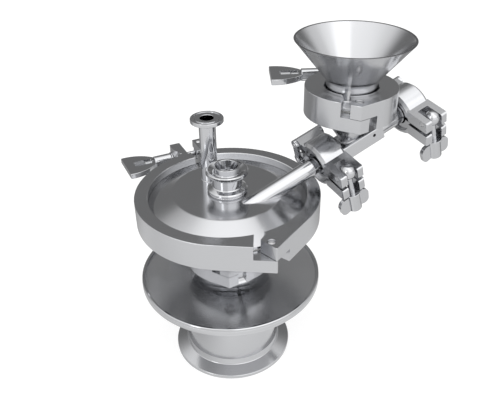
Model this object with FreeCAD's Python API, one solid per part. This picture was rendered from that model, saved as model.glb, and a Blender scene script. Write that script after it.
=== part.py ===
import FreeCAD, Part
import math
import os

from FreeCAD import Placement, Rotation, Vector

# Jet mill on its discharge piece, with an inclined feeder and a hopper.
# Millimetres. The origin is the middle of the bottom flange's face, on the mill's axis.
# +Z is up, +X is the level direction in which the feeder runs away from the mill.

# Fits
gap = 0.15               # between a clamp's groove and the flanges that it holds
press = 0.02             # pins and tubes that are pressed or welded in
running = 0.05           # pins and bolts that turn
touch = 0.02             # washers and nuts on their seats
side_gap = 0.15          # between leaves, eyes and links that turn past each other
gasket_t = 1.6           # every flat gasket
gasket_in = 0.3          # gaskets end this far inside the flanges' edge
soft = 0.5               # broken edges of the clamps
through = 200.0          # reach of a cut that passes right through

# Clamp flanges of the pipe work
taper = 20.0             # back of a flange, degrees
small_flange_r = 25.25   # ferrules of the hopper and of the outlet
small_tube_r = 19.05
small_wall = 1.65
small_edge = 1.9         # rim thickness of one flange
weld_step = 0.6          # fillet from a ferrule's back to its tube
weld_rise = 0.8
pipe_flange_r = 12.5     # ferrules of the feed pipe and the gas inlet
pipe_tube_r = 6.35
pipe_wall = 1.65
pipe_edge = 1.4
inlet_edge = 2.8         # thicker rim of the gas inlet
inlet_bore = 5.2

# Discharge piece
foot_r = 48.5
foot_edge = 3.0
foot_sweep = 4.0         # sweep from the foot flange to the neck
foot_sweep_h = 5.0
foot_bow, foot_bow_h = 0.275, 0.26    # its middle, as shares of both
neck_r = 38.05
neck_wall = 2.0
disc_r = 71.8
disc_top = 77.0
disc_edge = 5.0
disc_rim = 2.0           # width of the raised rim
disc_dish = 2.5          # depth of the dish inside the rim
disc_plate = 6.0         # thickness of the disc at the bore
disc_cone = 12.0         # slope of its underside, degrees
disc_weld = 1.0          # straight edge where it meets the neck
trumpet_spread = 14.0    # foot of the trumpet outside its tube
trumpet_edge = 0.35
trumpet_bow = 0.16       # middle of its sweep, as a share of the spread
trumpet_bow_h = 3.4
outlet_joint = 98.8      # height of the joint under the mill

# Mill head
head_mid = 140.5         # height of the joint between the covers
head_flange_r = 64.5
head_edge = 1.8          # rim thickness of one cover
head_flat_r = 41.5       # flat top disc
head_rise = 11.3         # from the joint to the flat top
cover_wall = 3.0
chamber_r = 43.0
chamber_h = 7.5
jet_ring_wall = 5.0
jet_count = 8
jet_r = 0.75
jet_lean = 32.0          # degrees off the radius
ring_room = 0.6          # between the ring and the wall of the gas space
lid_t = 2.7
lid_slope = 2.5
stud_r = 2.5
stud_at = 33.0
stud_count = 6
seal_w = 1.2
seal_depth = 0.7
bead_in, bead_out = 2.0, 4.5
bead_h = 0.5
floor_below = 4.5        # chamber floor under the joint
gas_space = 6.0          # width of the ring-shaped gas space
gas_trough = 4.2         # its depth under the chamber floor
cover_weld = 3.0
outlet_bore_r = 9.0
outlet_stand = 3.0       # outlet tube above the chamber floor
outlet_wall = 1.5

# Ports on the top cover
inlet_x, inlet_y = -3.98, 22.43
inlet_top = 203.0
inlet_seal_in, inlet_seal_w = 1.6, 1.8    # recess for a seal in its face
inlet_seal_depth = 0.6
port_bore_r = 7.8
port_neck_r = 11.25
port_flange_r = 15.9
port_top = 169.9
port_edge = 3.4          # its flange's edge, cone and neck under the top
port_cone = 2.6
port_edge_round = 0.7
port_rim = 1.8           # width of its flat rim
port_groove = 2.2        # depth of the groove inside it
port_collar_r = 9.1      # thin collar round the bore
port_collar = 2.9        # how far it stands above the rim
port_depth = 11.0        # depth of the blind bore
port_plug = 2.0
port_foot_r = 15.2
port_foot_gap = 0.9      # lip of the foot above the cover
port_foot_edge = 0.8
port_weld = 0.6

# Feeder line, level with +X seen from above
feed_slope = 18.4        # degrees above level
feed_y = -21.86
feed_x = 21.2            # where its axis meets the flat top
feed_clamp_at = 54.0     # along the axis, from that point
gas_clamp_at = 132.8
block_from, block_to = 65.0, 103.0
block_w, block_h = 19.0, 12.2
block_round = 1.2
stub_r = 8.0
stub_in = 2.0            # how deep the ferrules' tubes sit in the bar
screw_in, screw_z = 8.5, 1.5
screw_r, screw_depth = 1.3, 2.6
suction_r = 5.0
suction_cone = 7.0
suction_lead = 3.0
nozzle_r = 4.6
nozzle_bore_r = 2.5
nozzle_tip_r = 0.9
nozzle_from = 3.0        # tip past the hopper's axis
nozzle_tip = 3.0         # from the tip: its straight bore, the cone in it, the cone outside
nozzle_throat = 7.0
nozzle_cone = 12.0
nozzle_tip_wall = 1.2
nozzle_out = 1.5         # stub past its clamp

# Hopper
hopper_x = 92.16
hopper_joint = 213.7
hopper_top = 258.6
hopper_top_r = 42.9
hopper_wall = 1.2
hopper_lip = 1.3
hopper_neck_top = 225.6
hopper_blend = 1.2
seat_low_r = 6.5
seat_foot = 6.2          # its cone starts above the feeder's axis
seat_mid_r = 12.0
seat_mid_drop = 24.4     # where the cone opens further, under the joint
seat_top_drop = 12.0     # where it ends
seat_wall = 2.6

# Clamp rings with paddle nut
ring_h = 21.0
head_ring_r = 70.0
head_ring_open_r = 60.0
small_ring_r = 34.05
small_ring_open_r = 19.85
nose_ratio = 0.86        # clamp radius to the reach of its hinge corner
bolt_out = 16.0          # swing bolt outside the ring
lug_out = 21.0
nut_lug_x0, nut_lug_x1 = -14.9, -5.8
pin_lug_x0, pin_lug_x1 = 6.1, 13.9
slot_side = 1.2          # room round the bolt in its slots
slot_flat = 0.6
bolt_split = 3.0         # half the gap between the halves beside the bolt
bolt_r = 2.5
bolt_pin_r = 2.0
bolt_eye_r = 4.5
bolt_eye_h = 8.0
bolt_pin_up = 0.8
bolt_pin_x = (pin_lug_x0 + pin_lug_x1) / 2
hinge_pin_r = 3.0
hinge_pin_in = 8.6       # pin's axis inside the hinge corner
hinge_pin_sunk = 1.2
head_leaf = 5.6          # a leaf's tip past the hinge, and its distance from the corner
head_leaf_at, head_leaf_end = 13.8, 18.4
head_notch_out, head_notch_in = 18.1, 7.1
head_notch_at = 21.2
small_leaf_out, small_leaf_in = 7.7, 4.8
small_leaf_at = 14.1
small_notch_out, small_notch_in = 16.3, 10.0
washer_t = 1.0
washer_r = 5.5
nut_r = 5.0
nut_len = 15.0
nut_round = 0.8
window_round = 1.5
paddle_len = 24.6
paddle_w = 30.5
paddle_t = 4.6
paddle_neck_w = 11.0
paddle_bulge = 0.84      # how full its sides are
paddle_full_at = 0.45    # and where, as a share of its length
window_len, window_w = 15.0, 8.0
window_in = 2.0
bolt_left = 8.0          # bolt end that stands past the nut's barrel
head_hinge_at = -93.2    # direction of the hinge, degrees from +X
hopper_hinge_at = -116.2
outlet_hinge_at = -117.7

# Pipe clamps of the feeder
drum_r = 18.2
drum_bevel = 2.1          # at both ends of the drum
drum_w = 20.0
drum_open_r = 9.0
drum_recess_r = 14.5     # shallow recess in each end
drum_recess = 2.0
split = 3.2              # between the halves
clamp_turn = 8.5         # about the pipe: the fork hangs, degrees
bolt_lean = 5.0          # of the bolt outwards, degrees
arm_reach = 34.9         # fork end from the pipe's axis
arm_t = 9.8
arm_in = 0.75            # root of the arms inside the drum, as a share of its radius
fork_slot = 9.2
fork_in = 1.0            # slot's end outside the drum
fork_round = 1.6
pin_from_end = 5.8       # bolt's pin to the fork's end
pivot_y = pin_from_end - arm_reach
pivot_z = 8.2
ball_r = 5.8
ball_side = 0.4
link_out = 2.6           # hinge pins outside the drum
link_y, link_z = drum_r + link_out, 7.8
knuckle_in = 0.55        # root of the knuckles inside the drum
link_waist = 0.7
link_t = 2.6
link_r = 4.2
link_pin_r = 2.0
wing_nut_r = 5.3
wing_nut_len = 16.4
wing_span = 13.0
wing_t = 3.2
wing_h = 14.0
wing_drop = 2.6          # wing's top under the barrel's
wing_shoulder, wing_fall = 1.2, 6.0   # its upper corner, in from the tip and down
wing_toe, wing_toe_up = 5.0, 3.0      # its lower corner
wing_root_up = 2.0
bolt_end = 1.6           # bolt past the wing nut
washer_past = 1.2        # washer past the nut's barrel

DOWN_FEED = Placement(Vector(feed_x, feed_y, head_mid + head_rise), Rotation(Vector(0, 1, 0), -feed_slope))
parts = {}


def tan(degrees):
    return math.tan(math.radians(degrees))


def profile(points):
    """Closed face in the XZ plane from (r, z) points."""
    corners = [Vector(r, 0, z) for r, z in points]
    return Part.Face(Part.makePolygon(corners + corners[:1]))


def turned(points, turn=360):
    """Body of revolution about Z from (r, z) points."""
    return profile(points).revolve(Vector(0, 0, 0), Vector(0, 0, 1), turn)


def disc(radius, low, high, x=0, y=0):
    return Part.makeCylinder(radius, high - low, Vector(x, y, low))


def tube(outer, inner, low, high):
    return disc(outer, low, high).cut(disc(inner, low - 1, high + 1))


def box(x0, x1, y0, y1, z0, z1):
    return Part.makeBox(x1 - x0, y1 - y0, z1 - z0, Vector(x0, y0, z0))


def rod(radius, start, end):
    direction = Vector(*end) - Vector(*start)
    return Part.makeCylinder(radius, direction.Length, Vector(*start), direction)


def plate(points, low, high):
    """Flat plate from (x, y) points, between two heights."""
    corners = [Vector(x, y, low) for x, y in points]
    return Part.Face(Part.makePolygon(corners + corners[:1])).extrude(Vector(0, 0, high - low))


def softened(shape, radius, wanted):
    """Fillet of the edges that the test picks."""
    edges = [edge for edge in shape.Edges if wanted(edge)]
    return shape.makeFillet(radius, edges) if edges else shape


def upright(edge):
    return edge.BoundBox.XLength < 0.01 and edge.BoundBox.YLength < 0.01


def placed(shape, placement):
    moved = shape.copy()
    moved.Placement = placement.multiply(moved.Placement)
    return moved


def keep(name, shape):
    parts[name] = shape.removeSplitter() if shape.ShapeType != "Compound" else shape


def rise(flange_r, edge, r):
    """Half thickness of a flange pair at radius r, from the joint's middle."""
    return gasket_t / 2 + edge + (flange_r - r) * tan(taper)


def ferrule(flange_r, edge, tube_r, bore_r, length):
    """Clamp ferrule: its face at z 0, its tube going up."""
    foot = edge + (flange_r - tube_r - weld_step) * tan(taper)
    return turned([(bore_r, 0), (flange_r, 0), (flange_r, edge), (tube_r + weld_step, foot),
                   (tube_r, foot + weld_rise), (tube_r, length), (bore_r, length)])


def gasket(flange_r, bore_r):
    """Flat gasket about the joint's middle."""
    return tube(flange_r - gasket_in, bore_r, -gasket_t / 2, gasket_t / 2)


# Discharge piece: ferrule with trumpet, rimmed disc, and neck with foot flange, welded to each other
small_bore = small_tube_r - small_wall
pipe_bore = pipe_tube_r - pipe_wall
neck_bore = neck_r - neck_wall
disc_floor = disc_top - disc_dish
disc_under = disc_top - disc_edge
neck_top = disc_under - (disc_r - neck_r) * tan(disc_cone) - disc_weld


def swept(points, start, bow, end):
    """Body of revolution whose outline ends with an arc from start over bow to end."""
    corners = [Vector(r, 0, z) for r, z in points]
    edges = [Part.LineSegment(p, q).toShape() for p, q in zip(corners, corners[1:])]
    start, bow, end = (Vector(r, 0, z) for r, z in (start, bow, end))
    edges.append(Part.LineSegment(corners[-1], start).toShape())
    edges.append(Part.Arc(start, bow, end).toShape())
    edges.append(Part.LineSegment(end, corners[0]).toShape())
    return Part.Face(Part.Wire(edges)).revolve(Vector(0, 0, 0), Vector(0, 0, 1), 360)


def outlet_ferrule():
    face = outlet_joint - gasket_t / 2
    flange_low = face - small_edge - (small_flange_r - small_tube_r - weld_step) * tan(taper)
    spread = small_tube_r + trumpet_spread
    foot = disc_floor + trumpet_edge
    return swept([(small_tube_r + weld_step, flange_low), (small_flange_r, face - small_edge), (small_flange_r, face),
                  (small_bore, face), (small_bore, disc_floor), (spread, disc_floor)],
                 (spread, foot), (small_tube_r + trumpet_spread * trumpet_bow, foot + trumpet_bow_h),
                 (small_tube_r, flange_low - weld_rise))


def discharge_disc():
    return turned([(small_bore, disc_floor), (small_bore, disc_floor - disc_plate), (neck_bore, neck_top),
                   (neck_r, neck_top), (neck_r, neck_top + disc_weld), (disc_r - 1, disc_under),
                   (disc_r, disc_under + 1), (disc_r, disc_top - 0.6), (disc_r - 0.6, disc_top),
                   (disc_r - disc_rim, disc_top), (disc_r - disc_rim - 1.2, disc_floor)])


def discharge_neck():
    foot_top = foot_edge + (foot_r - neck_r - foot_sweep) * tan(taper)
    return swept([(neck_r, neck_top), (neck_bore, neck_top), (neck_bore, 0), (foot_r, 0), (foot_r, foot_edge)],
                 (neck_r + foot_sweep, foot_top), (neck_r + foot_sweep * foot_bow, foot_top + foot_sweep_h * foot_bow_h),
                 (neck_r, foot_top + foot_sweep_h))


keep("outlet_ferrule", outlet_ferrule())
keep("discharge_disc", discharge_disc())
keep("discharge_neck", discharge_neck())

# Mill head: two covers with sloping shoulders, joined at their rims
head_top = head_mid + head_rise
face_up = head_mid + gasket_t / 2
face_down = head_mid - gasket_t / 2
rim_z = face_up + head_edge
floor_z = head_mid - floor_below
roof_z = floor_z + chamber_h
gas_r = chamber_r + jet_ring_wall + gas_space
shoulder = (head_rise - gasket_t / 2 - head_edge) / (head_flange_r - head_flat_r)
head_under = head_mid - head_rise


def head_half_thickness(r):
    return gasket_t / 2 + head_edge + (head_flange_r - r) * shoulder


def feed_hole(radius):
    """Slanting cylinder round the feeder's axis, from inside the chamber outward."""
    return placed(rod(radius, (-through, 0, 0), (through, 0, 0)), DOWN_FEED)


def top_cover():
    ceiling = head_top - cover_wall
    ceiling_r = head_flat_r - 1.5
    body = turned([(0, ceiling), (ceiling_r, ceiling), (gas_r, face_up + 2.6), (gas_r, face_up),
                   (head_flange_r, face_up), (head_flange_r, rim_z), (head_flat_r + 0.4, head_top - 0.2),
                   (head_flat_r - 0.4, head_top), (0, head_top)])
    body = body.cut(disc(port_neck_r + press, ceiling - 1, head_top + 1))
    body = body.cut(disc(pipe_tube_r + press, ceiling - 1, head_top + 1, inlet_x, inlet_y))
    groove = tube(gas_r + bead_out, gas_r + bead_in, face_up - 1, face_up + bead_h)
    return body.cut(groove).cut(feed_hole(pipe_tube_r + press))


def bottom_cover():
    seat_r = chamber_r + jet_ring_wall
    trough = floor_z - gas_trough
    body = turned([(small_bore, head_under), (head_flat_r, head_under), (head_flange_r, face_down - head_edge),
                   (head_flange_r, face_down), (gas_r, face_down), (gas_r, trough), (seat_r + ring_room, trough),
                   (seat_r + ring_room, floor_z), (small_bore, floor_z)])
    return body.cut(tube(gas_r + bead_out, gas_r + bead_in, face_down - bead_h, face_down + 1))


def cover_ferrule():
    """Ferrule welded under the bottom cover."""
    joint = outlet_joint + gasket_t / 2
    back = joint + small_edge + (small_flange_r - small_tube_r - weld_step) * tan(taper)
    return turned([(small_bore, joint), (small_flange_r, joint), (small_flange_r, joint + small_edge),
                   (small_tube_r + weld_step, back), (small_tube_r, back + weld_rise),
                   (small_tube_r, head_under - cover_weld), (small_tube_r + cover_weld, head_under),
                   (small_bore, head_under)])


def cover_gasket():
    flat = tube(head_flange_r - gasket_in, gas_r + 0.4, face_down, face_up)
    bead = tube(gas_r + bead_out - 0.2, gas_r + bead_in + 0.2, face_down - bead_h + 0.1, face_up + bead_h - 0.1)
    return flat.fuse(bead)


def grinding_ring():
    """Ring round the chamber; its jets lean the way the gas turns."""
    inner, outer = chamber_r, chamber_r + jet_ring_wall
    ring = tube(outer, inner, floor_z, roof_z)
    mid = (floor_z + roof_z) / 2
    for number in range(jet_count):
        turn = math.radians(360.0 / jet_count * number + 11)
        lean = turn + math.radians(180 + jet_lean)
        start = Vector((outer + 1) * math.cos(turn), (outer + 1) * math.sin(turn), mid)
        way = Vector(math.cos(lean), math.sin(lean), 0)
        ring = ring.cut(Part.makeCylinder(jet_r, jet_ring_wall + 4, start, way))
    top_groove = tube(outer - seal_w, outer - 2 * seal_w, roof_z - seal_depth, roof_z + 1)
    low_groove = tube(outer - seal_w, outer - 2 * seal_w, floor_z - 1, floor_z + seal_depth)
    return ring.cut(top_groove).cut(low_groove)


def ring_seals():
    outer = chamber_r + jet_ring_wall - seal_w - running
    inner = outer - seal_w + 2 * running
    return Part.makeCompound([tube(outer, inner, roof_z - seal_depth + running, roof_z),
                              tube(outer, inner, floor_z, floor_z + seal_depth - running)])


def chamber_lid():
    """Liner that closes the chamber under the gas space, held down by studs of the cover."""
    outer = chamber_r + jet_ring_wall
    lid = turned([(0, roof_z), (outer, roof_z), (outer, roof_z + lid_t / 2), (outer - lid_slope, roof_z + lid_t),
                  (0, roof_z + lid_t)])
    for number in range(stud_count):
        turn = math.radians(360.0 / stud_count * number + 20)
        lid = lid.fuse(disc(stud_r, roof_z + lid_t, head_top - cover_wall,
                            stud_at * math.cos(turn), stud_at * math.sin(turn)))
    lid = lid.cut(disc(port_neck_r + press, roof_z - 1, roof_z + lid_t + 1))
    return lid.cut(feed_hole(pipe_tube_r + press))


def outlet_tube():
    """Insert in the floor: the ground product leaves over its upper edge."""
    outer = small_bore - press
    top = floor_z + outlet_stand
    low = head_under - outlet_wall
    return turned([(outlet_bore_r, top), (outlet_bore_r + outlet_wall, top), (outer, floor_z),
                   (outer, low), (outer - outlet_wall, low)])


def gas_inlet():
    body = placed(ferrule(pipe_flange_r, inlet_edge, pipe_tube_r, inlet_bore, inlet_top - head_top + cover_wall),
                  Placement(Vector(inlet_x, inlet_y, inlet_top), Rotation(Vector(1, 0, 0), 180)))
    outer = pipe_flange_r - inlet_seal_in
    recess = tube(outer, outer - inlet_seal_w, inlet_top - inlet_seal_depth, inlet_top + 1)
    recess.translate(Vector(inlet_x, inlet_y, 0))
    return body.cut(recess)


def centre_port():
    """Short port: a lip close above the cover, a flange with a groove, and a collar round a blind bore."""
    low = head_top + port_foot_gap
    mid = low + 2 * port_foot_edge
    cone = port_top - port_edge
    groove = port_top - port_groove
    top = port_top + port_collar
    floor = top - port_depth
    return turned([(port_bore_r, roof_z), (port_neck_r, roof_z), (port_neck_r, low),
                   (port_foot_r - port_foot_edge, low), (port_foot_r, low + port_foot_edge), (port_foot_r, mid),
                   (port_foot_r - port_foot_edge, mid + port_foot_edge),
                   (port_neck_r + port_weld, mid + 2 * port_foot_edge + port_weld),
                   (port_neck_r, mid + 2 * port_foot_edge + 2 * port_weld),
                   (port_neck_r, cone - port_cone), (port_neck_r + port_weld, cone - port_cone + port_weld),
                   (port_flange_r - port_edge_round, cone), (port_flange_r, cone + port_edge_round),
                   (port_flange_r, port_top - port_edge_round), (port_flange_r - port_edge_round, port_top),
                   (port_flange_r - port_rim, port_top), (port_collar_r + port_rim, groove), (port_collar_r, groove),
                   (port_collar_r, top), (port_bore_r, top), (port_bore_r, floor), (0, floor),
                   (0, floor - port_plug), (port_bore_r, floor - port_plug)])


keep("top_cover", top_cover())
keep("bottom_cover", bottom_cover())
keep("cover_ferrule", cover_ferrule())
keep("cover_gasket", cover_gasket())
keep("grinding_ring", grinding_ring())
keep("ring_seals", ring_seals())
keep("chamber_lid", chamber_lid())
keep("outlet_tube", outlet_tube())
keep("gas_inlet", gas_inlet())
keep("centre_port", centre_port())


# Feeder: feed tube, injector body with the hopper's seat, gas nozzle
feed_face = feed_clamp_at + gasket_t / 2
gas_face = gas_clamp_at - gasket_t / 2
feed_axis_z = head_top + (hopper_x - feed_x) * tan(feed_slope)
suction = (hopper_x - feed_x) / math.cos(math.radians(feed_slope))
AT_HOPPER = Placement(Vector(hopper_x, feed_y, 0), Rotation())


def along(shape):
    """Turns a shape that stands on Z so that it lies along the feeder's axis."""
    return placed(shape, Placement(Vector(0, 0, 0), Rotation(Vector(0, 1, 0), 90)))


def facing_back(shape):
    return placed(shape, Placement(Vector(0, 0, 0), Rotation(Vector(0, 1, 0), -90)))


def feed_tube():
    face = feed_clamp_at - gasket_t / 2
    body = facing_back(ferrule(pipe_flange_r, pipe_edge, pipe_tube_r, pipe_bore, face + chamber_r))
    body.translate(Vector(face, 0, 0))
    body = placed(body, DOWN_FEED)
    return body.cut(box(-through, through, -through, through, roof_z - through, roof_z))


def feeder_bar():
    """Bar and its two ferrules, without bores."""
    bar = box(block_from, block_to, -block_w / 2, block_w / 2, -block_h / 2, block_h / 2)
    bar = softened(bar, block_round, lambda edge: edge.BoundBox.XLength > block_w)
    near = along(ferrule(pipe_flange_r, pipe_edge, stub_r, pipe_bore, block_from - feed_face + stub_in))
    near.translate(Vector(feed_face, 0, 0))
    far = facing_back(ferrule(pipe_flange_r, pipe_edge, stub_r, nozzle_r + running, gas_face - block_to + stub_in))
    far.translate(Vector(gas_face, 0, 0))
    return placed(bar.fuse(near).fuse(far), DOWN_FEED)


def seat_profile(inset):
    """Outline of the conical seat under the hopper, or of the funnel in it, inset from it."""
    face = hopper_joint - gasket_t / 2
    low = face - small_edge - (small_flange_r - small_tube_r - weld_step) * tan(taper)
    points = [(0, feed_axis_z), (seat_low_r - inset, feed_axis_z), (seat_low_r - inset, feed_axis_z + seat_foot),
              (seat_mid_r - inset, hopper_joint - seat_mid_drop)]
    if inset:
        return points + [(small_bore, hopper_joint - seat_top_drop), (small_bore, face + 1), (0, face + 1)]
    return points + [(small_tube_r, hopper_joint - seat_top_drop), (small_tube_r, low - weld_rise),
                     (small_tube_r + weld_step, low), (small_flange_r, face - small_edge), (small_flange_r, face),
                     (0, face)]


def funnel():
    return placed(turned(seat_profile(seat_wall)), AT_HOPPER)


def injector_body():
    bores = rod(pipe_bore, (feed_face - 1, 0, 0), (suction, 0, 0))
    bores = bores.fuse(Part.makeCone(suction_r, pipe_bore, suction_cone,
                                     Vector(suction - suction_lead, 0, 0), Vector(-1, 0, 0)))
    bores = bores.fuse(rod(suction_r, (suction - suction_lead, 0, 0), (suction + suction_cone, 0, 0)))
    bores = bores.fuse(rod(nozzle_r + running, (suction, 0, 0), (gas_face + 1, 0, 0)))
    body = feeder_bar().cut(placed(bores, DOWN_FEED)).cut(funnel())
    screw_x = block_to - screw_in
    screw_hole = rod(screw_r, (screw_x, -block_w, screw_z), (screw_x, screw_depth - block_w / 2, screw_z))
    return body.cut(placed(screw_hole, DOWN_FEED))


def hopper_seat():
    """Cone and ferrule that carry the hopper, welded on the bar."""
    return placed(turned(seat_profile(0)), AT_HOPPER).cut(feeder_bar()).cut(funnel())


def gas_nozzle():
    """Flanged nozzle that blows across the foot of the hopper into the feed tube."""
    face = gas_clamp_at + gasket_t / 2
    tip = suction + nozzle_from
    back = gas_clamp_at + drum_w / 2 + nozzle_out
    foot = pipe_edge + (pipe_flange_r - stub_r - weld_step) * tan(taper)
    body = along(turned([(nozzle_bore_r, back), (stub_r, back), (stub_r, face + foot + weld_rise),
                         (stub_r + weld_step, face + foot),
                         (pipe_flange_r, face + pipe_edge), (pipe_flange_r, face), (nozzle_r, face),
                         (nozzle_r, tip + nozzle_cone), (nozzle_tip_r + nozzle_tip_wall, tip), (nozzle_tip_r, tip),
                         (nozzle_tip_r, tip + nozzle_tip), (nozzle_bore_r, tip + nozzle_throat)]))
    return placed(body, DOWN_FEED)


def pipe_gasket(at, bore):
    body = along(gasket(pipe_flange_r, bore))
    body.translate(Vector(at, 0, 0))
    return placed(body, DOWN_FEED)


keep("feed_tube", feed_tube())
keep("injector_body", injector_body())
keep("hopper_seat", hopper_seat())
keep("gas_nozzle", gas_nozzle())
keep("feed_gasket", pipe_gasket(feed_clamp_at, pipe_bore))
keep("nozzle_gasket", pipe_gasket(gas_clamp_at, nozzle_r + running))


# Hopper
def hopper():
    face = hopper_joint + gasket_t / 2
    foot = face + small_edge + (small_flange_r - small_tube_r - weld_step) * tan(taper)
    low_rim = hopper_top - hopper_lip
    return placed(turned([(small_bore, face), (small_flange_r, face), (small_flange_r, face + small_edge),
                          (small_tube_r + weld_step, foot), (small_tube_r, foot + weld_rise),
                          (small_tube_r, hopper_neck_top - 2), (small_tube_r + hopper_blend, hopper_neck_top + 1),
                          (hopper_top_r - 1, low_rim), (hopper_top_r, low_rim), (hopper_top_r, hopper_top),
                          (hopper_top_r - 1, hopper_top), (hopper_top_r - 1 - hopper_wall, low_rim),
                          (small_bore, hopper_neck_top)]), AT_HOPPER)


def small_gasket(x, y, height):
    return placed(gasket(small_flange_r, small_bore), Placement(Vector(x, y, height), Rotation()))


keep("hopper", hopper())
keep("hopper_gasket", small_gasket(hopper_x, feed_y, hopper_joint))
keep("outlet_gasket", small_gasket(0, 0, outlet_joint))


# Clamp ring with paddle nut. Its own frame: joint height at z 0, hinge towards -Y, bolt on the +Y side,
# nut towards -X.
def ring_outline(radius):
    """Circle with two tangents that meet at the hinge corner."""
    reach = radius / nose_ratio
    half = math.acos(nose_ratio)
    right = Vector(radius * math.sin(half), -radius * math.cos(half), 0)
    left = Vector(-right.x, right.y, 0)
    corner = Vector(0, -reach, 0)
    wire = Part.Wire([Part.Arc(right, Vector(0, radius, 0), left).toShape(),
                      Part.LineSegment(left, corner).toShape(), Part.LineSegment(corner, right).toShape()])
    return Part.Face(wire)


def ring_blank(radius, open_r, flange_r, half_at):
    half = ring_h / 2
    body = softened(ring_outline(radius).extrude(Vector(0, 0, ring_h)), soft, lambda edge: not upright(edge))
    body.translate(Vector(0, 0, -half))
    for x0, x1 in ((nut_lug_x0, nut_lug_x1), (pin_lug_x0, pin_lug_x1)):
        body = body.fuse(box(x0, x1, radius * 0.8, radius + lug_out, -half, half))
    edge = half_at(flange_r) + gap
    lip = half_at(open_r) + gap
    out = open_r + soft + 1
    bore = turned([(0, -half - 1), (out, -half - 1), (open_r, -half + soft), (open_r, -lip), (flange_r + gap, -edge),
                   (flange_r + gap, edge), (open_r, lip), (open_r, half - soft), (out, half + 1), (0, half + 1)])
    return body.cut(bore)


def nut_seat(radius):
    """What is cut off the nut's lug so that its seat curves about the bolt's pin."""
    lump = box(nut_lug_x0 - 1, (nut_lug_x0 + nut_lug_x1) / 2, radius + 1, radius + lug_out + 1, -ring_h, ring_h)
    return lump.cut(disc(bolt_pin_x - nut_lug_x0, -ring_h - 1, ring_h + 1, bolt_pin_x, radius + bolt_out))


def bolt_slots(radius):
    y = radius + bolt_out
    wide = bolt_r + slot_flat
    nut_side = box(nut_lug_x0 - 1, nut_lug_x1 + 1, y - bolt_r - slot_side, radius + lug_out + 1, -wide, wide)
    wide = bolt_eye_h / 2 + side_gap
    pin_side = box(pin_lug_x0 - 1, pin_lug_x1 + 1, y - bolt_eye_r - slot_side, radius + lug_out + 1, -wide, wide)
    return nut_side.fuse(pin_side)


def beside_hinge(line, reach, side, low, high):
    """Slab beside a broken line that crosses the ring at the hinge; line has (x, distance from the corner)."""
    bends = [(side * x, depth - reach) for x, depth in line]
    far = side * through
    return plate([(bends[0][0], -through)] + bends + [(bends[-1][0], 0), (far, 0), (far, -through)], low, high)


def ring_half(blank, reach, leaf, notch, side):
    """Half of the ring; its leaf lies over the hinge on side 1 and under it on side -1."""
    half = ring_h / 2
    leaf_low, leaf_high = sorted((side * side_gap, side * half))
    rest_low, rest_high = sorted((side * side_gap, -side * half))
    room = box(bolt_split, through, 0, through, -half, half)
    if side < 0:
        room = box(-through, -bolt_split, 0, through, -half, half)
    room = room.fuse(beside_hinge(leaf, reach, side, leaf_low, leaf_high))
    return blank.common(room.fuse(beside_hinge(notch, reach, side, rest_low, rest_high)))


def ring_clamp(name, radius, open_r, flange_r, half_at, leaf, notch, spot, hinge_at):
    half = ring_h / 2
    reach = radius / nose_ratio
    bolt_y = radius + bolt_out
    hinge_y = hinge_pin_in - reach
    blank = ring_blank(radius, open_r, flange_r, half_at).cut(bolt_slots(radius)).cut(nut_seat(radius))
    blank = blank.cut(disc(hinge_pin_r + press, -half - 1, half + 1, 0, hinge_y))
    blank = blank.cut(disc(bolt_pin_r + press, -half - 1, half + 1, bolt_pin_x, bolt_y))
    eye = disc(bolt_eye_r, -bolt_eye_h / 2, bolt_eye_h / 2, bolt_pin_x, bolt_y)
    start = nut_lug_x0 - touch
    nut_start = start - washer_t
    end = nut_start - nut_len - bolt_left
    shank = rod(bolt_r, (bolt_pin_x, bolt_y, 0), (end, bolt_y, 0))
    bolt = eye.fuse(shank).cut(disc(bolt_pin_r + running, -half, half, bolt_pin_x, bolt_y))
    washer = rod(washer_r, (start, bolt_y, 0), (nut_start + touch, bolt_y, 0))
    washer = washer.cut(rod(bolt_r + running, (start + 1, bolt_y, 0), (end, bolt_y, 0)))
    pieces = {"left_half": ring_half(blank, reach, leaf, notch, -1),
              "right_half": ring_half(blank, reach, leaf, notch, 1),
              "hinge_pin": disc(hinge_pin_r, hinge_pin_sunk - half, half - hinge_pin_sunk, 0, hinge_y),
              "swing_bolt": bolt,
              "bolt_pin": disc(bolt_pin_r, -half, half + bolt_pin_up, bolt_pin_x, bolt_y),
              "washer": washer,
              "paddle_nut": paddle_nut(nut_start, bolt_y)}
    where = Placement(Vector(*spot), Rotation(Vector(0, 0, 1), hinge_at + 90))
    for piece, shape in pieces.items():
        keep(name + "_" + piece, placed(shape, where))


def paddle_nut(start, y):
    """Long nut with a flat paddle that has a window in which the bolt's end shows."""
    neck = start - nut_len
    far = neck - paddle_len
    barrel = softened(rod(nut_r, (start, y, 0), (neck, y, 0)), nut_round, lambda edge: edge.Closed)
    a, b = paddle_neck_w / 2, paddle_w / 2
    side = a + (b - a) * paddle_bulge
    bulge_x = neck - paddle_len * paddle_full_at
    near_up, near_down = Vector(neck + 1, y + a, 0), Vector(neck + 1, y - a, 0)
    far_up, far_down = Vector(far, y + b, 0), Vector(far, y - b, 0)
    outline = [Part.Arc(near_up, Vector(bulge_x, y + side, 0), far_up).toShape(),
               Part.LineSegment(far_up, far_down).toShape(),
               Part.Arc(far_down, Vector(bulge_x, y - side, 0), near_down).toShape(),
               Part.LineSegment(near_down, near_up).toShape()]
    blade = Part.Face(Part.Wire(outline)).extrude(Vector(0, 0, paddle_t))
    blade.translate(Vector(0, 0, -paddle_t / 2))
    blade = softened(blade, soft, lambda edge: not upright(edge))
    window = box(neck - window_in - window_len, neck - window_in, y - window_w / 2, y + window_w / 2,
                 -paddle_t, paddle_t)
    window = softened(window, window_round, upright)
    nut = barrel.fuse(blade).cut(window)
    return nut.cut(rod(bolt_r + running, (start + 1, y, 0), (neck - window_in - 2, y, 0)))


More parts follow.
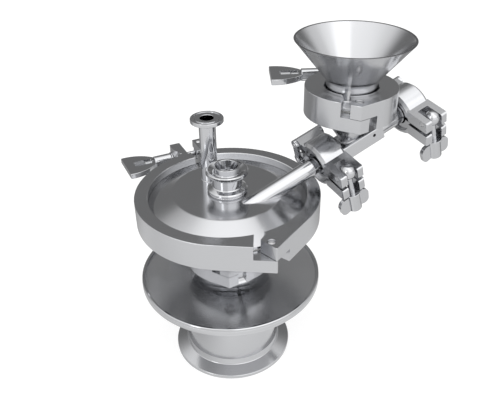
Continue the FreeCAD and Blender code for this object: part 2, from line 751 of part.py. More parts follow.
def small_half(r):
    return rise(small_flange_r, small_edge, r)


head_leaf_line = [(-soft, 0), (-head_leaf, head_leaf_at), (soft, head_leaf_end)]
head_notch_line = [(head_notch_out, 0), (head_notch_in, head_notch_at)]
small_leaf_line = [(-small_leaf_out, 0), (-small_leaf_in, small_leaf_at)]
small_notch_line = [(small_notch_out, 0), (small_notch_in, small_leaf_at)]
ring_clamp("head_clamp", head_ring_r, head_ring_open_r, head_flange_r, head_half_thickness,
           head_leaf_line, head_notch_line, (0, 0, head_mid), head_hinge_at)
ring_clamp("outlet_clamp", small_ring_r, small_ring_open_r, small_flange_r, small_half,
           small_leaf_line, small_notch_line, (0, 0, outlet_joint), outlet_hinge_at)
ring_clamp("hopper_clamp", small_ring_r, small_ring_open_r, small_flange_r, small_half,
           small_leaf_line, small_notch_line, (hopper_x, feed_y, hopper_joint), hopper_hinge_at)


# Pipe clamp of the feeder. Its own frame: pipe along X, fork towards -Y, hinge towards +Y.
def drum_bore():
    edge = gasket_t / 2 + pipe_edge + gap
    lip = rise(pipe_flange_r, pipe_edge, drum_open_r) + gap
    far = drum_w
    step = drum_w / 2 - drum_recess
    return along(turned([(0, -far), (drum_recess_r, -far), (drum_recess_r, -step), (drum_open_r, -step),
                         (drum_open_r, -lip), (pipe_flange_r + gap, -edge), (pipe_flange_r + gap, edge),
                         (drum_open_r, lip), (drum_open_r, step), (drum_recess_r, step), (drum_recess_r, far),
                         (0, far)]))


def clamp_half(side):
    """Upper half for side 1, lower half for side -1."""
    half = drum_w / 2
    low, high = split / 2, split / 2 + arm_t
    drum = rod(drum_r, (-half, 0, 0), (half, 0, 0))
    drum = drum.makeChamfer(drum_bevel, [edge for edge in drum.Edges if edge.Closed and edge.Length > drum_r])
    drum = drum.common(box(-half, half, -drum_r, drum_r, low, drum_r))
    arms = box(-half, half, -arm_reach, -drum_r * arm_in, low, high)
    arms = softened(arms, fork_round, lambda edge: edge.BoundBox.YLength < 0.01 and edge.BoundBox.YMin < -drum_r)
    slot = box(-fork_slot / 2, fork_slot / 2, -arm_reach - 1, -drum_r - fork_in, low - 1, high + 1)
    knuckle = rod(link_r, (-half, link_y, link_z), (half, link_y, link_z))
    knuckle = knuckle.fuse(box(-half, half, drum_r * knuckle_in, link_y, link_z - link_r, link_z + link_r))
    body = drum.fuse(arms).fuse(knuckle).cut(box(-half - 1, half + 1, -through, through, -through, low)).cut(slot)
    body = body.cut(drum_bore()).cut(rod(link_pin_r + press, (-half - 1, link_y, link_z), (half + 1, link_y, link_z)))
    if side > 0:
        return body.cut(rod(link_pin_r + press, (-half - 1, pivot_y, pivot_z), (half + 1, pivot_y, pivot_z)))
    body = placed(body, Placement(Vector(0, 0, 0), Rotation(Vector(1, 0, 0), 180)))
    body = placed(body, Placement(Vector(0, 0, 0), Rotation(Vector(0, 0, 1), 180)))
    seat = pivot_z + high
    lump = box(-half - 1, half + 1, -arm_reach - 1, pivot_y, -through, -low)
    crown = rod(seat, (-half - 2, pivot_y, pivot_z), (half + 2, pivot_y, pivot_z))
    return body.cut(lump.cut(crown))


def hinge_links():
    plates = []
    waist = link_r * link_waist
    for side in (-1, 1):
        start = side * (drum_w / 2 + side_gap)
        end = start + side * link_t
        cheek = rod(link_r, (start, link_y, link_z), (end, link_y, link_z))
        cheek = cheek.fuse(rod(link_r, (start, link_y, -link_z), (end, link_y, -link_z)))
        cheek = cheek.fuse(box(min(start, end), max(start, end), link_y - waist, link_y + waist, -link_z, link_z))
        for height in (-link_z, link_z):
            cheek = cheek.cut(rod(link_pin_r + press, (start - side, link_y, height), (end + side, link_y, height)))
        plates.append(cheek.removeSplitter())
    return Part.makeCompound(plates)


def hinge_pins():
    """Two pins with domed heads outside the links."""
    reach = drum_w / 2 + side_gap + link_t + soft
    pins = [rod(link_pin_r, (-reach, link_y, height), (reach, link_y, height)) for height in (-link_z, link_z)]
    return Part.makeCompound([softened(pin, soft, lambda edge: edge.Closed) for pin in pins])


def pipe_swing_bolt(end):
    eye = Part.makeSphere(ball_r, Vector(0, pivot_y, pivot_z))
    flat = fork_slot / 2 - ball_side
    eye = eye.common(box(-flat, flat, -through, 0, -through, through))
    shank = rod(bolt_r, (0, pivot_y, pivot_z), (0, pivot_y, end))
    return eye.fuse(shank).cut(rod(link_pin_r + running, (-fork_slot, pivot_y, pivot_z), (fork_slot, pivot_y, pivot_z)))


def wing_nut(start, end):
    """Barrel with two wings that run along the pipe."""
    nut = softened(rod(wing_nut_r, (0, pivot_y, start), (0, pivot_y, end)), nut_round, lambda edge: edge.Closed)
    tip = wing_span
    top = start - wing_drop
    low = top - wing_h
    root = wing_nut_r + 1
    points = [(0, top), (root, top), (tip - wing_shoulder, top - wing_fall * 0.37), (tip, top - wing_fall),
              (tip - wing_shoulder / 2, low + wing_toe_up), (tip - wing_toe * 0.4, low + wing_toe_up * 0.27),
              (tip - wing_toe, low), (0, low + wing_root_up)]
    corners = [Vector(x, 0, z) for x, z in points]
    outline = [Part.LineSegment(corners[0], corners[1]).toShape(), Part.Arc(*corners[1:4]).toShape(),
               Part.LineSegment(corners[3], corners[4]).toShape(), Part.Arc(*corners[4:7]).toShape(),
               Part.LineSegment(corners[6], corners[7]).toShape(), Part.LineSegment(corners[7], corners[0]).toShape()]
    blade = Part.Face(Part.Wire(outline)).extrude(Vector(0, wing_t, 0))
    blade.translate(Vector(0, -wing_t / 2, 0))
    for turn in (0, 180):
        nut = nut.fuse(placed(blade, Placement(Vector(0, pivot_y, 0), Rotation(Vector(0, 0, 1), turn))))
    return nut.cut(rod(bolt_r + running, (0, pivot_y, start + 1), (0, pivot_y, end - 1)))


def leaning(shape):
    """Swings the bolt, washer or nut outwards about the bolt's pin, to where it rests."""
    return placed(shape, Placement(Vector(0, 0, 0), Rotation(Vector(1, 0, 0), -bolt_lean), Vector(0, pivot_y, pivot_z)))


def on_pipe(at):
    """Where a clamp sits: its place along the feeder's axis and its turn about it."""
    return DOWN_FEED.multiply(Placement(Vector(at, 0, 0), Rotation(Vector(1, 0, 0), clamp_turn)))


def pipe_clamp(name, at):
    seat = -split / 2 - arm_t - touch
    nut_start = seat - washer_t
    end = nut_start - wing_nut_len
    washer = rod(wing_nut_r + washer_past, (0, pivot_y, seat), (0, pivot_y, nut_start + touch))
    washer = washer.cut(rod(bolt_r + running, (0, pivot_y, seat + 1), (0, pivot_y, nut_start - 1)))
    half = drum_w / 2
    pieces = {"upper_half": clamp_half(1), "lower_half": clamp_half(-1),
              "hinge_links": hinge_links(), "hinge_pins": hinge_pins(),
              "bolt_pin": rod(link_pin_r, (-half, pivot_y, pivot_z), (half, pivot_y, pivot_z)),
              "swing_bolt": leaning(pipe_swing_bolt(end - bolt_end)),
              "washer": leaning(washer), "wing_nut": leaning(wing_nut(nut_start, end))}
    for piece, shape in pieces.items():
        keep(name + "_" + piece, placed(shape, on_pipe(at)))


pipe_clamp("feed_clamp", feed_clamp_at)
pipe_clamp("gas_clamp", gas_clamp_at)

os.makedirs("parts", exist_ok=True)
for node, shape in parts.items():
    shape.exportStep("parts/" + node + ".step")
    print(node, len(shape.Solids), round(shape.Volume, 1), shape.isValid())
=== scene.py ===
import math

import bmesh
import bpy
import numpy as np
from mathutils import Matrix, Vector


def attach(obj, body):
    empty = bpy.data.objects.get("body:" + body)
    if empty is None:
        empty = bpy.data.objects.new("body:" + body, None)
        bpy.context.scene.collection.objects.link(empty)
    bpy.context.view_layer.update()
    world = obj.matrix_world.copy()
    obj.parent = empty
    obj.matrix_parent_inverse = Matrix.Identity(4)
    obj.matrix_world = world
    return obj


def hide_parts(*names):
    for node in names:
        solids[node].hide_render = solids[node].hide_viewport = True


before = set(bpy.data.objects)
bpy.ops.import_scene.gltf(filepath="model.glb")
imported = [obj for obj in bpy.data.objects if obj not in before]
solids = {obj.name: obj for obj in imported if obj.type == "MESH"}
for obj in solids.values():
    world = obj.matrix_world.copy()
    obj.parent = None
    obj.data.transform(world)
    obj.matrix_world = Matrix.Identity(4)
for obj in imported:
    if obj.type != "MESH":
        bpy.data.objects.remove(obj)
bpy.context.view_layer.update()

# Camera. A 44 mm lens on a 36 mm sensor looks down at the mill from the front left,
# with a roll of just under a degree.
eye = Vector((-0.17235, -0.35754, 0.39346))
ahead = Vector((0.3986, 0.7447, -0.5352)).normalized()
level_right = ahead.cross(Vector((0, 0, 1))).normalized()
level_up = level_right.cross(ahead)
roll = math.radians(-0.9)
right = level_right * math.cos(roll) + level_up * math.sin(roll)
up = level_up * math.cos(roll) - level_right * math.sin(roll)
lens = bpy.data.cameras.new("camera")
lens.lens = 44.376
lens.sensor_width = 36.0
lens.clip_start = 0.01
camera = bpy.data.objects.new("camera", lens)
camera.matrix_world = Matrix((
    (right.x, up.x, -ahead.x, eye.x),
    (right.y, up.y, -ahead.y, eye.y),
    (right.z, up.z, -ahead.z, eye.z),
    (0, 0, 0, 1)))
bpy.context.scene.collection.objects.link(camera)
bpy.context.scene.camera = camera


# Studio. Soft boxes hang overhead and stand behind the camera, with a panel on the right and a narrow
# strip light, all seen only in reflections. The wall is grey and the floor is white paper.
class Signal:
    """A shader socket on which + - and * add Math nodes."""

    def __init__(self, recipe, socket):
        self.recipe, self.socket = recipe, socket

    def math(self, operation, first, second):
        return self.recipe.node("ShaderNodeMath", {"operation": operation}, [first, second])

    def __add__(self, other):
        return self.math("ADD", self, other)

    def __sub__(self, other):
        return self.math("SUBTRACT", self, other)

    def __rsub__(self, other):
        return self.math("SUBTRACT", other, self)

    def __mul__(self, other):
        return self.math("MULTIPLY", self, other)


class Recipe:
    """The node tree of one material, or of the world."""

    def __init__(self, owner):
        owner.use_nodes = True
        self.tree = owner.node_tree
        self.tree.nodes.clear()

    def node(self, kind, settings, inputs, output=0):
        """Adds a node: its settings first, then the values or links of its sockets."""
        made = self.tree.nodes.new(kind)
        for key, value in settings.items():
            setattr(made, key, value)
        for key, value in enumerate(inputs) if isinstance(inputs, list) else inputs.items():
            if isinstance(value, Signal):
                self.tree.links.new(value.socket, made.inputs[key])
            else:
                made.inputs[key].default_value = value
        return Signal(self, made.outputs[output]) if len(made.outputs) else None

    def between(self, value, low, high):
        """0 below low and 1 above high, with a smooth step from one to the other."""
        return self.node("ShaderNodeMapRange", {"interpolation_type": "SMOOTHSTEP"},
                         {"Value": value, "From Min": low, "From Max": high})

    def dot(self, place, direction):
        """How far a place lies along a direction."""
        return self.node("ShaderNodeVectorMath", {"operation": "DOT_PRODUCT"}, [place, direction], 1)

    def length(self, place):
        """How far a place lies from the origin."""
        return self.node("ShaderNodeVectorMath", {"operation": "LENGTH"}, [place], 1)


room = bpy.data.worlds.new("studio")
bpy.context.scene.world = room
sky = Recipe(room)
way = sky.node("ShaderNodeTexCoord", {}, {}, "Generated")
east, north, height = (sky.node("ShaderNodeSeparateXYZ", {}, [way], axis) for axis in "XYZ")
level_reach = math.hypot(ahead.x, ahead.y)
forward = east * (ahead.x / level_reach) + north * (ahead.y / level_reach)
sideways = east * level_right.x + north * level_right.y
box_light, core_light, below_box = 0.7, 0.25, 0.4
soft_box = (1 - sky.between(forward, 0.2, 0.72)) * box_light
soft_box = soft_box + (1 - sky.between(forward, -0.3, 0.15)) * core_light
soft_box = soft_box * (sky.between(height, 0.22, 0.44) * (1 - below_box) + below_box)
panel_light = 0.5
panel = (1 - sky.between(forward, -0.34, -0.28)) * sky.between(sideways, 0.0, 0.12) * panel_light
strip_light, strip_turn = 2.5, math.radians(49)
off_strip = forward * math.cos(strip_turn) - sideways * math.sin(strip_turn)
strip = (1 - sky.between(off_strip * off_strip, 0.006, 0.012)) * (1 - sky.between(forward, -0.4, -0.2))
strip = strip * sky.between(height, 0.1, 0.3) * (1 - sky.between(height, 0.55, 0.65)) * strip_light
top_light, round_light, skirting_light, wall_light = 0.45, 0.16, 0.3, 0.22
overhead = sky.between(height, 0.84, 0.97) * top_light + sky.between(height, 0.61, 0.69) * round_light
skirting = (1 - sky.between(height, 0.0, 0.16)) * skirting_light
seen = sky.node("ShaderNodeLightPath", {}, {}, "Is Camera Ray")
glow = (soft_box + panel + strip + overhead + skirting + wall_light) * (1 - seen) + seen
backdrop = sky.node("ShaderNodeBackground", {}, {"Color": (1, 1, 1, 1), "Strength": glow})
sky.node("ShaderNodeOutputWorld", {}, {"Surface": backdrop})

# The paper throws more light on the camera's side, and close to the foot less from the left.
paper = bpy.data.materials.new("white_paper")
sheet = Recipe(paper)
seen = sheet.node("ShaderNodeLightPath", {}, {}, "Is Camera Ray")
spot = sheet.node("ShaderNodeTexCoord", {}, {}, "Object")
near = sheet.dot(spot, (-ahead.x, -ahead.y, 0))
facing = sheet.between(near, -0.2, -0.04)
close = 1 - sheet.between(sheet.length(spot), 0.07, 0.17)
left_light, right_light = -0.27, 0.15
on_right = sheet.between(sheet.dot(spot, tuple(level_right)), -0.1, 0.0)
foot_light = on_right * (right_light - left_light) + left_light
facing_light, front_light, paper_light = 0.3, 0.15, 0.17
spill = facing * facing_light + sheet.between(near, 0.0, 0.2) * front_light
spill = spill + close * foot_light + paper_light
dull = sheet.node("ShaderNodeBsdfDiffuse", {}, {"Color": facing * 0.16 + 0.14})
thrown = sheet.node("ShaderNodeEmission", {}, {"Strength": spill})
reflected = sheet.node("ShaderNodeAddShader", {}, [dull, thrown])
pale = sheet.node("ShaderNodeBsdfDiffuse", {}, {"Color": (0.3, 0.3, 0.3, 1)})
lit = sheet.node("ShaderNodeEmission", {}, {"Color": (1, 1, 1, 1), "Strength": 0.78})
shown = sheet.node("ShaderNodeAddShader", {}, [pale, lit])
surface = sheet.node("ShaderNodeMixShader", {}, [seen, reflected, shown])
sheet.node("ShaderNodeOutputMaterial", {}, {"Surface": surface})
reach, floor_z = 4.0, -0.0003
floor_mesh = bpy.data.meshes.new("floor")
floor_mesh.from_pydata([(-reach, -reach, floor_z), (reach, -reach, floor_z),
                        (reach, reach, floor_z), (-reach, reach, floor_z)], [], [(0, 1, 2, 3)])
floor_mesh.materials.append(paper)
floor = bpy.data.objects.new("floor", floor_mesh)
bpy.context.scene.collection.objects.link(floor)


# Discharge piece. Turned pieces of polished stainless steel, welded end to end and ground flush: the neck
# with its foot flange, the dished disc with a rounded rim, and the ferrule on it.
def steel(name, tint, rough, marks, coordinate, depth=0.05):
    """Polished steel. Fine marks follow a coordinate in metres, marks is how many fit a metre, and wider
    clouds and grit lie over them. Roughness is rough (1 + 0.4 (fine - 1/2) + 0.3 (cloud - 1/2)), the colour
    moves about a percent with the clouds, and depth is the strength of the bump."""
    made = bpy.data.materials.new(name)
    mix = Recipe(made)
    place = mix.node("ShaderNodeTexCoord", {}, {}, "Object")
    along = coordinate(mix, place)
    fine = mix.node("ShaderNodeTexNoise", {"noise_dimensions": "1D"},
                    {"W": along * marks, "Scale": 1.0, "Detail": 3.0, "Roughness": 0.6}, "Fac")
    cloud = mix.node("ShaderNodeTexNoise", {}, {"Vector": place, "Scale": 38.0, "Detail": 3.0}, "Fac")
    grit = mix.node("ShaderNodeTexNoise", {}, {"Vector": place, "Scale": 900.0, "Detail": 2.0}, "Fac")
    gloss = (fine - 0.5) * (rough * 0.4) + (cloud - 0.5) * (rough * 0.3) + rough
    shade = (cloud - 0.5) * 0.08 + (grit - 0.5) * 0.04 + 0.5
    colour = mix.node("ShaderNodeMix", {"data_type": "RGBA", "clamp_factor": True},
                      {"Factor": shade, "A": [part * 0.9 for part in tint] + [1],
                       "B": [part * 1.1 for part in tint] + [1]}, 2)
    relief = mix.node("ShaderNodeBump", {}, {"Strength": depth, "Distance": 0.00006,
                                             "Height": fine + grit * 0.5})
    skin = mix.node("ShaderNodeBsdfPrincipled", {}, {"Base Color": colour, "Metallic": 1.0,
                                                     "Roughness": gloss, "Normal": relief})
    mix.node("ShaderNodeOutputMaterial", {}, {"Surface": skin})
    return made


def outline_length(mix, place):
    """Distance along the turned outline, kept in the mesh."""
    return mix.node("ShaderNodeAttribute", {"attribute_name": "along"}, {}, "Fac")


stainless = (0.575, 0.58, 0.595)
turned_steel = steel("turned_steel", stainless, 0.16, 5200.0, outline_length)
port_steel = steel("port_steel", stainless, 0.07, 5200.0, outline_length, 0.02)
# The disc's steel is a lighter copy of the stainless: painted light that makes the whole disc read
# brighter.
painted_light_disc_steel = steel("painted_light_disc_steel", (0.625, 0.63, 0.645), 0.24, 2600.0, outline_length)


def anticlockwise(spots):
    """Whether a closed outline runs anticlockwise, which the sign of its area tells."""
    ahead_of = np.roll(spots, -1, 0)
    return np.sum(spots[:, 0] * ahead_of[:, 1] - ahead_of[:, 0] * spots[:, 1]) > 0


def rounded(corners, steps=4):
    """Closed outline through (radius, height, rounding) corners in mm. Each corner becomes an arc that
    touches both its sides, rounding / tan(half the angle) from the corner, and 0.45 of a side at most.
    Gives the points and their normals, as arrays."""
    spots = np.array([corner[:2] for corner in corners], float)
    sizes = np.array([corner[2] for corner in corners], float)
    back, on = np.roll(spots, 1, 0) - spots, np.roll(spots, -1, 0) - spots
    back_side, on_side = np.linalg.norm(back, axis=1), np.linalg.norm(on, axis=1)
    back, on = back / back_side[:, None], on / on_side[:, None]
    hand = 1.0 if anticlockwise(spots) else -1.0
    no_arc, flat_arc = 1.55, 1.5
    points, normals = [], []
    for spot, size, b, o, most in zip(spots, sizes, back, on, 0.45 * np.minimum(back_side, on_side)):
        in_normal = hand * np.array([-b[1], b[0]])
        out_normal = hand * np.array([o[1], -o[0]])
        half = math.acos(max(-1.0, min(1.0, float(b @ o)))) / 2
        if size <= 0 or half > no_arc:
            points.append(spot)
            normals.append(in_normal + out_normal)
            continue
        run = min(size / math.tan(half), most)
        radius = run * math.tan(half)
        centre = spot + (b + o) / np.linalg.norm(b + o) * radius / math.sin(half)
        start, end = spot + b * run - centre, spot + o * run - centre
        bend = math.pi - 2 * half
        for share in np.linspace(0, 1, steps + 1):
            arm = start * (1 - share) + end * share
            points.append(centre + arm * radius / np.linalg.norm(arm))
            before, after = 1 - share, share
            if half < flat_arc:
                before, after = math.sin(before * bend), math.sin(after * bend)
            normals.append(in_normal * before + out_normal * after)
    points, normals = np.array(points), np.array(normals)
    return points, normals / np.linalg.norm(normals, axis=1)[:, None]


def standing(x=0.0, y=0.0, z=0.0, turn=0.0):
    """Placement in mm for a piece whose axis stands upright: rotation and shift."""
    c, s = math.cos(math.radians(turn)), math.sin(math.radians(turn))
    return np.array([[c, -s, 0], [s, c, 0], [0, 0, 1.0]]), np.array([x, y, z])


def smooth_mesh(name, spots, faces, material):
    """Mesh of points in metres and faces, shaded smooth."""
    mesh = bpy.data.meshes.new(name)
    mesh.from_pydata(spots.tolist(), [], faces)
    mesh.polygons.foreach_set("use_smooth", np.ones(len(faces), bool))
    mesh.materials.append(material)
    return mesh


def show(name, mesh, body, slot, *stands_for):
    """Puts a finished mesh into the scene as a piece that rides on a body."""
    piece = bpy.data.objects.new(name, mesh)
    bpy.context.scene.collection.objects.link(piece)
    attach(piece, body)
    if stands_for:
        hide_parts(*stands_for)
    return piece


def turned(name, corners, place, material, body, slot, stands_for, around=160):
    """Surface of revolution: every outline point (r, z) goes to (r cos t, r sin t, z) for t once round,
    and points on the axis stay one vertex."""
    points, normals = rounded(corners)
    turn, shift = place
    count = len(points)
    angle = np.linspace(0, 2 * np.pi, around, endpoint=False)
    ring = np.stack([np.cos(angle), np.sin(angle)], 1)
    spots = np.empty((count, around, 3))
    spots[..., :2] = points[:, None, :1] * ring
    spots[..., 2] = points[:, None, 1]
    slants = np.empty((count, around, 3))
    slants[..., :2] = normals[:, None, :1] * ring
    slants[..., 2] = normals[:, None, 1]
    spots = (spots.reshape(-1, 3) @ turn.T + shift) * 0.001
    slants = slants.reshape(-1, 3) @ turn.T
    index = np.arange(count * around).reshape(count, around)
    on_axis = points[:, 0] < 1e-6
    index[on_axis] = index[on_axis][:, :1]
    index_next = np.roll(index, -1, 0)
    quads = np.stack([index, np.roll(index, -1, 1), np.roll(index_next, -1, 1), index_next], 2)
    quads = quads[~(on_axis & np.roll(on_axis, -1))].reshape(-1, 4)
    if not anticlockwise(points):
        quads = quads[:, ::-1]
    used, quads = np.unique(quads, return_inverse=True)
    faces = [list(dict.fromkeys(face)) for face in quads.reshape(-1, 4).tolist()]
    mesh = smooth_mesh(name, spots[used], faces, material)
    steps = np.linalg.norm(np.roll(points, -1, 0) - points, axis=1)
    along = np.repeat(np.concatenate([[0], np.cumsum(steps)[:-1]]), around) * 0.001
    mesh.attributes.new("along", "FLOAT", "POINT").data.foreach_set("value", along[used])
    mesh.normals_split_custom_set_from_vertices(slants[used].tolist())
    return show(name, mesh, body, slot, *stands_for)


turned("foot_and_neck", [
    (36.05, 0, 0.4), (48.5, 0, 0.5), (48.5, 3.0, 0.7), (39.4, 6.8, 0.9), (38.05, 11.2, 3.5),
    (38.05, 63.85, 0.05), (36.05, 63.85, 0.05)],
    standing(), turned_steel, "mill", "polished_steel", ["discharge_neck"])
turned("rimmed_disc", [
    (17.4, 74.5, 0.1), (17.4, 68.5, 0.3), (36.05, 63.83, 0.3), (38.05, 63.83, 0.05), (38.05, 64.33, 0.8),
    (69.0, 68.4, 3.0), (71.8, 71.2, 2.4), (71.8, 74.9, 0.2), (69.2, 74.9, 0.05), (68.6, 74.5, 0.5)],
    standing(), painted_light_disc_steel, "mill", "polished_steel", ["discharge_disc"], 224)
turned("disc_rim", [(69.1, 74.7, 0.1), (71.7, 74.7, 0.2), (71.7, 77.0, 1.7), (69.3, 77.0, 0.6)],
       standing(), port_steel, "mill", "polished_steel", [], 224)

# The ferrule's flare is a quarter of a superellipse: cos and sin of t, each raised to a power below one.
flare_foot, flare_top, flare_r, flare_h, power = 33.05, 93.26, 14.0, 18.76, 0.57
flare = [(flare_foot - flare_r * math.cos(t) ** power, flare_top - flare_h * math.sin(t) ** power, 0)
         for t in np.linspace(0, 1.57, 20)]
turned("outlet_trumpet",
       [(17.4, 98.0, 0.2), (25.25, 98.0, 0.3), (25.25, 96.1, 0.4), (19.65, 94.06, 0.4)] + flare
       + [(17.4, 74.5, 0.05)],
       standing(), turned_steel, "mill", "polished_steel", ["outlet_ferrule"])


# Mill head. Two pressed and turned covers of polished steel on one axis, with a ferrule welded under
# the lower one. The grinding chamber is inside.
def from_axis(x, y):
    """Distance from an upright axis, in metres, for marks that run round it."""
    def radius(mix, place):
        centred = mix.node("ShaderNodeVectorMath", {"operation": "SUBTRACT"}, [place, (x, y, 0)])
        return mix.length(mix.node("ShaderNodeVectorMath", {"operation": "MULTIPLY"}, [centred, (1, 1, 0)]))
    return radius


def dress(material, *names):
    """Gives the solids of the frame their finish."""
    for name in names:
        for place in solids[name].material_slots:
            place.material = material


cover_steel = steel("cover_steel", stainless, 0.17, 5200.0, from_axis(0, 0))
dress(cover_steel, "top_cover", "bottom_cover", "chamber_lid", "grinding_ring", "outlet_tube")
turned("lower_ferrule", [
    (17.4, 99.6, 0.2), (25.25, 99.6, 0.3), (25.25, 101.5, 0.4), (19.65, 103.54, 0.4), (19.05, 104.34, 0.3),
    (19.05, 126.2, 0.8), (22.05, 129.2, 0.1), (17.4, 129.2, 0.1)],
    standing(), turned_steel, "mill", "polished_steel", ["cover_ferrule"])

# Gaskets and seals. Moulded rings of white silicone, which lie between the flanges and between the
# covers.
silicone = bpy.data.materials.new("white_silicone")
mix = Recipe(silicone)
place = mix.node("ShaderNodeTexCoord", {}, {}, "Object")
cloud = mix.node("ShaderNodeTexNoise", {}, {"Vector": place, "Scale": 220.0, "Detail": 4.0}, "Fac")
colour = mix.node("ShaderNodeMix", {"data_type": "RGBA"},
                  {"Factor": cloud, "A": (0.8, 0.8, 0.78, 1), "B": (0.88, 0.88, 0.87, 1)}, 2)
dimple = mix.node("ShaderNodeBump", {}, {"Strength": 0.2, "Distance": 0.0001, "Height": cloud})
skin = mix.node("ShaderNodeBsdfPrincipled", {}, {"Base Color": colour, "Roughness": cloud * 0.15 + 0.45,
                                                 "Normal": dimple})
mix.node("ShaderNodeOutputMaterial", {}, {"Surface": skin})
dress(silicone, "cover_gasket", "ring_seals", "outlet_gasket", "hopper_gasket", "feed_gasket",
      "nozzle_gasket")


# Ports. A tall tube with a thick-rimmed ferrule brings the grinding gas, and a short turned port with
# two rims and a thin collar stands in the middle; both are welded into the cover.
def seam(name, path, thick, ripples, around=10):
    """Weld bead: a ring of radius thick (1 + 0.09 cos 2 pi n u) swept once along a closed path in mm, with
    u from 0 to 1 and n ripples."""
    count = len(path)
    run = np.roll(path, -1, 0) - np.roll(path, 1, 0)
    run /= np.linalg.norm(run, axis=1)[:, None]
    side = np.cross(run, [0, 0, 1.0])
    side /= np.linalg.norm(side, axis=1)[:, None]
    lift = np.cross(side, run)
    size = thick * (1 + 0.09 * np.cos(2 * np.pi * ripples * np.arange(count) / count))
    turn = np.linspace(0, 2 * np.pi, around, endpoint=False)
    ring = side[:, None] * np.cos(turn)[:, None] + lift[:, None] * np.sin(turn)[:, None]
    spots = (path[:, None] + size[:, None, None] * ring).reshape(-1, 3) * 0.001
    index = np.arange(count * around).reshape(count, around)
    beside = np.roll(index, -1, 0)
    quads = np.stack([index, beside, np.roll(beside, -1, 1), np.roll(index, -1, 1)], 2).reshape(-1, 4)
    return show(name, smooth_mesh(name, spots, quads.tolist(), weld_steel), "mill", "polished_steel")


inlet_x, inlet_y, cover_top = -3.98, 22.43, 151.8
turned("tall_gas_inlet", [
    (5.2, 148.8, 0.1), (6.35, 148.8, 0.1), (6.35, 197.38, 0.4), (6.95, 198.18, 0.4), (12.5, 200.2, 0.4),
    (12.5, 203.0, 0.5), (10.9, 203.0, 0.15), (10.9, 202.4, 0.2), (9.1, 202.4, 0.2), (9.1, 203.0, 0.2),
    (5.2, 203.0, 0.4)],
    standing(inlet_x, inlet_y), port_steel, "mill", "polished_steel", ["gas_inlet"], 112)
turned("short_centre_port", [
    (7.8, 143.5, 0.1), (11.25, 143.5, 0.1), (11.25, 151.83, 0.2), (14.1, 151.83, 0.2), (15.2, 153.1, 0.4),
    (15.2, 154.3, 0.4), (14.4, 155.1, 0.4), (11.85, 156.5, 0.5), (11.25, 157.1, 0.6), (11.25, 163.9, 0.6),
    (11.85, 164.5, 0.5), (15.2, 166.5, 0.5), (15.9, 167.2, 0.4), (15.9, 169.2, 0.4), (15.2, 169.9, 0.4),
    (14.1, 169.9, 0.4), (10.9, 167.9, 0.8), (9.7, 167.9, 0.5), (9.7, 172.8, 0.35), (8.3, 172.8, 0.5),
    (6.2, 163.8, 2.0), (0, 162.8, 0), (0, 159.8, 0), (7.8, 159.8, 0.2)],
    standing(), port_steel, "mill", "polished_steel", ["centre_port"], 144)

weld_steel = steel("weld_steel", (0.56, 0.56, 0.575), 0.24, 1500.0, from_axis(0, 0))
lap = np.linspace(0, 2 * np.pi, 360, endpoint=False)


def circle(x, y, z, radius):
    """Points (x + r cos t, y + r sin t, z) for t once round, in mm."""
    return np.stack([x + radius * np.cos(lap), y + radius * np.sin(lap), z + 0 * lap], 1)


seam("inlet_weld", circle(inlet_x, inlet_y, cover_top, 6.5), 0.4, 46)
seam("port_weld", circle(0, 0, cover_top, 14.2), 0.45, 84)


# Ring clamps. Forged halves of satin steel meet at a pinned hinge in front; a swing bolt with a
# paddle nut pulls their lugs together behind.
def height_of(mix, place):
    """Height over the floor, for level marks."""
    return mix.node("ShaderNodeSeparateXYZ", {}, [place], "Z")


satin_steel = steel("satin_steel", (0.57, 0.575, 0.59), 0.2, 3600.0, height_of)
bright_steel = steel("bright_steel", (0.58, 0.585, 0.6), 0.12, 3000.0, height_of, 0.03)
# The pins' steel is much lighter than the rest: a painted highlight for the white glint on their heads.
painted_sheen_pin_steel = steel("painted_sheen_pin_steel", (0.8, 0.8, 0.81), 0.42, 1800.0, from_axis(0, 0))


def broken_edges(name, material, slot, width=0.00025, body="mill"):
    """A frame solid with its sharp edges broken: the same surface, merged, and bevelled by the modifier."""
    mesh = solids[name].data.copy()
    mesh.name = name + "_edged"
    shape = bmesh.new()
    shape.from_mesh(mesh)
    bmesh.ops.remove_doubles(shape, verts=shape.verts, dist=0.000002)
    bmesh.ops.dissolve_limit(shape, angle_limit=math.radians(0.4), verts=shape.verts, edges=shape.edges)
    shape.to_mesh(mesh)
    shape.free()
    mesh.materials.clear()
    mesh.materials.append(material)
    mesh.polygons.foreach_set("use_smooth", np.ones(len(mesh.polygons), bool))
    piece = show(name + "_edged", mesh, body, slot, name)
    bevel = piece.modifiers.new("edges", "BEVEL")
    bevel.width = width
    bevel.segments = 2
    bevel.limit_method = "ANGLE"
    bevel.angle_limit = math.radians(32)
    bevel.use_clamp_overlap = True
    even = piece.modifiers.new("even_normals", "WEIGHTED_NORMAL")
    even.weight = 100
    even.keep_sharp = False
    return piece


def tilted(axis, degrees, x=0.0, y=0.0, z=0.0):
    """Placement in mm: a turn about X, Y or Z, then a shift."""
    return np.array(Matrix.Rotation(math.radians(degrees), 3, axis)), np.array([x, y, z])


def within(outer, inner):
    """Placement in mm of one placement inside another."""
    return outer[0] @ inner[0], outer[0] @ inner[1] + outer[1]


